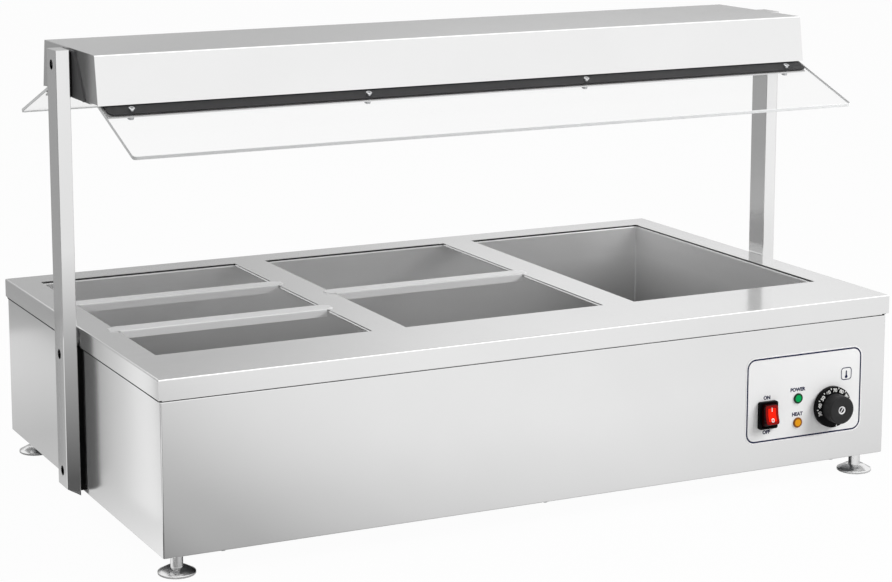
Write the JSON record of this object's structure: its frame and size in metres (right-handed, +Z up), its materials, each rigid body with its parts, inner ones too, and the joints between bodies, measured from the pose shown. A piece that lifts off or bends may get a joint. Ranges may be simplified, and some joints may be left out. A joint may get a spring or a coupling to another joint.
{
  "type": "dry bain-marie",
  "caption": "Countertop dry bain-marie in stainless steel: divided wells, hood on side posts, slanted glass guards, rocker switch, pilot lamps, dial thermostat, levelling feet",
  "frame": {"origin": "on the floor under the feet, at the middle of the overall width and depth", "axes": "+X to the right along the front, +Y from the front to the back, +Z up"},
  "size_m": [1.168, 0.7262, 0.6522],
  "materials": {
    "stainless": "fine brushed stainless steel, half mirror",
    "tank_steel": "stainless steel, dull mill finish",
    "plated_steel": "zinc-plated steel",
    "foot_steel": "turned stainless steel",
    "heater_sheath": "dark oxidised heater sheath",
    "bolt_steel": "bright cap screw",
    "bright_cap": "polished insert",
    "black_rubber": "black silicone",
    "black_strip": "black coated strip",
    "black_plastic": "fine satin black",
    "lamp_barrel_plastic": "natural nylon",
    "red_plastic": "glossy translucent red",
    "green_lens": "glossy translucent green",
    "amber_lens": "glossy translucent amber",
    "pale_film": "printed polyester film",
    "clear_glass": "clear toughened glass",
    "white_terminal": "heat-proof white",
    "copper_capillary": "drawn copper"
  },
  "bodies": {
    "unit": {"top_deck": "stainless", "casing_wrap": "stainless", "back_panel": "stainless", "hood_shell": "stainless", "hood_end_left": "stainless", "hood_end_right": "stainless", "post_left": "stainless", "post_right": "stainless", "hood_bracket_left": "stainless", "hood_bracket_right": "stainless", "hood_underside": "stainless", "tank": "tank_steel", "base_plate": "plated_steel", "heater_straps": "plated_steel", "foot_sockets": "plated_steel", "post_screws": "plated_steel", "post_nuts": "plated_steel", "clamp_nuts": "plated_steel", "base_screws": "plated_steel", "back_screws": "plated_steel", "underside_screws": "plated_steel", "thermostat_screws": "plated_steel", "heater_left": "heater_sheath", "heater_middle": "heater_sheath", "heater_right": "heater_sheath", "clamp_bolts": "bolt_steel", "tank_seal": "black_rubber", "post_spacers": "black_rubber", "glass_gasket_front": "black_rubber", "glass_gasket_rear": "black_rubber", "clamp_strip_front": "black_strip", "clamp_strip_rear": "black_strip", "switch_housing": "black_plastic", "cable_gland": "black_plastic", "gland_nut": "black_plastic", "thermostat_body": "black_plastic", "power_lamp_body": "lamp_barrel_plastic", "heat_lamp_body": "lamp_barrel_plastic", "power_lamp_lens": "green_lens", "heat_lamp_lens": "amber_lens", "control_overlay": "pale_film", "glass_front": "clear_glass", "glass_rear": "clear_glass", "terminal_block": "white_terminal", "thermostat_bulb": "copper_capillary"},
    "rocker": {"switch_rocker": "red_plastic"},
    "thermostat_knob": {"knob": "black_plastic", "knob_cap": "bright_cap", "thermostat_shaft": "plated_steel"},
    "divider_left_front": {"divider_left_front": "stainless"},
    "divider_left_rear": {"divider_left_rear": "stainless"},
    "divider_middle": {"divider_middle": "stainless"},
    "foot_front_left": {"foot_front_left": "foot_steel"},
    "foot_front_right": {"foot_front_right": "foot_steel"},
    "foot_back_left": {"foot_back_left": "foot_steel"},
    "foot_back_right": {"foot_back_right": "foot_steel"}
  },
  "joints": [
    {"name": "rocker_turn", "type": "hinge", "parent": "unit", "child": "rocker", "pos_m": [0.3553, -0.3339, 0.11175], "axis": [1, 0, 0], "range_deg": [0, 22]},
    {"name": "thermostat_turn", "type": "hinge", "parent": "unit", "child": "thermostat_knob", "pos_m": [0.465, -0.3339, 0.11175], "axis": [0, 1, 0], "range_deg": [0, 270]},
    {"name": "lift_divider_left_front", "type": "slide", "parent": "unit", "child": "divider_left_front", "axis": [0, 0, 1], "range_m": [0, 0.06]},
    {"name": "lift_divider_left_rear", "type": "slide", "parent": "unit", "child": "divider_left_rear", "axis": [0, 0, 1], "range_m": [0, 0.06]},
    {"name": "lift_divider_middle", "type": "slide", "parent": "unit", "child": "divider_middle", "axis": [0, 0, 1], "range_m": [0, 0.06]},
    {"name": "level_front_left", "type": "slide", "parent": "unit", "child": "foot_front_left", "axis": [0, 0, -1], "range_m": [0, 0.012]},
    {"name": "level_front_right", "type": "slide", "parent": "unit", "child": "foot_front_right", "axis": [0, 0, -1], "range_m": [0, 0.012]},
    {"name": "level_back_left", "type": "slide", "parent": "unit", "child": "foot_back_left", "axis": [0, 0, -1], "range_m": [0, 0.012]},
    {"name": "level_back_right", "type": "slide", "parent": "unit", "child": "foot_back_right", "axis": [0, 0, -1], "range_m": [0, 0.012]}
  ]
}
